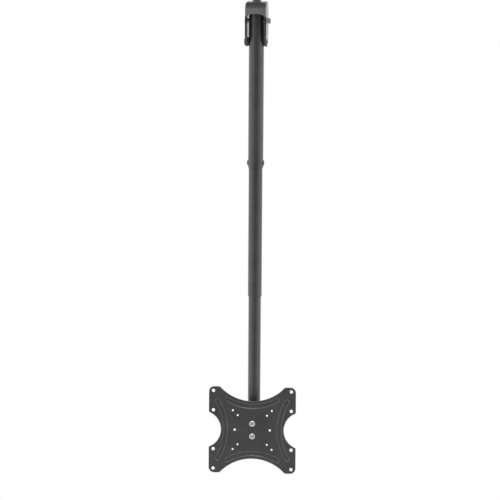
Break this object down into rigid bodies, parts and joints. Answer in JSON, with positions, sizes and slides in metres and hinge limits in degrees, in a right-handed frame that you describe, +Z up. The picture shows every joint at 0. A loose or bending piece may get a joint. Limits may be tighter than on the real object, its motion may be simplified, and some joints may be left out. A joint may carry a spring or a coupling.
{
  "type": "tv ceiling mount",
  "caption": "Telescopic ceiling pole for a television: swivelling yoke at the top, nested round tubes with clamp screws, and a tilting pressed plate with screen hole patterns.",
  "frame": {"origin": "middle of the ceiling face, on the swivel axis, where the four ceiling screws centre", "axes": "+Z up into the ceiling, -Y the way the screen faces, +X right for someone facing the screen"},
  "size_m": [0.223, 0.116, 1.227],
  "materials": {
    "grey_paint": "satin dark grey powder coat",
    "black_paint": "fine-textured black powder coat",
    "black_steel": "blackened steel",
    "zinc": "bright zinc plate",
    "nylon": "moulded black nylon"
  },
  "bodies": {
    "ceiling": {"ceiling_plate": "grey_paint", "swivel_bolt": "zinc", "swivel_spacer": "zinc", "swivel_washer": "zinc", "swivel_nut": "zinc"},
    "yoke": {"yoke": "grey_paint", "pivot_rivet": "black_steel"},
    "pole_upper": {"upper_tube": "black_paint", "saddle_spacers": "nylon", "lock_bolt": "black_steel", "lock_washer": "zinc", "lock_nut": "zinc", "lock_sleeves": "zinc", "upper_clamp_bosses": "black_paint", "upper_clamp_screws": "zinc"},
    "pole_middle": {"middle_tube": "black_paint", "lower_clamp_boss": "black_paint", "lower_clamp_screw": "zinc"},
    "pole_lower": {"lower_tube": "black_paint", "tilt_saddles": "nylon"},
    "head": {"tilt_bracket": "black_paint", "vesa_plate": "black_paint", "plate_screws": "zinc", "plate_washers": "zinc", "plate_nuts": "zinc", "tilt_bolt": "zinc", "tilt_washers": "zinc", "tilt_nut": "zinc"}
  },
  "joints": [
    {"name": "swivel", "type": "hinge", "parent": "ceiling", "child": "yoke", "pos_m": [0, 0, -0.02], "axis": [0, 0, 1], "continuous": true},
    {"name": "pole_tilt", "type": "hinge", "parent": "yoke", "child": "pole_upper", "pos_m": [0, 0, -0.122], "axis": [1, 0, 0], "range_deg": [-15, 3]},
    {"name": "upper_slide", "type": "slide", "parent": "pole_upper", "child": "pole_middle", "axis": [0, 0, 1], "range_m": [0, 0.24]},
    {"name": "lower_slide", "type": "slide", "parent": "pole_middle", "child": "pole_lower", "axis": [0, 0, 1], "range_m": [0, 0.29]},
    {"name": "head_tilt", "type": "hinge", "parent": "pole_lower", "child": "head", "pos_m": [0, 0, -1.116], "axis": [1, 0, 0], "range_deg": [-5, 15]}
  ]
}
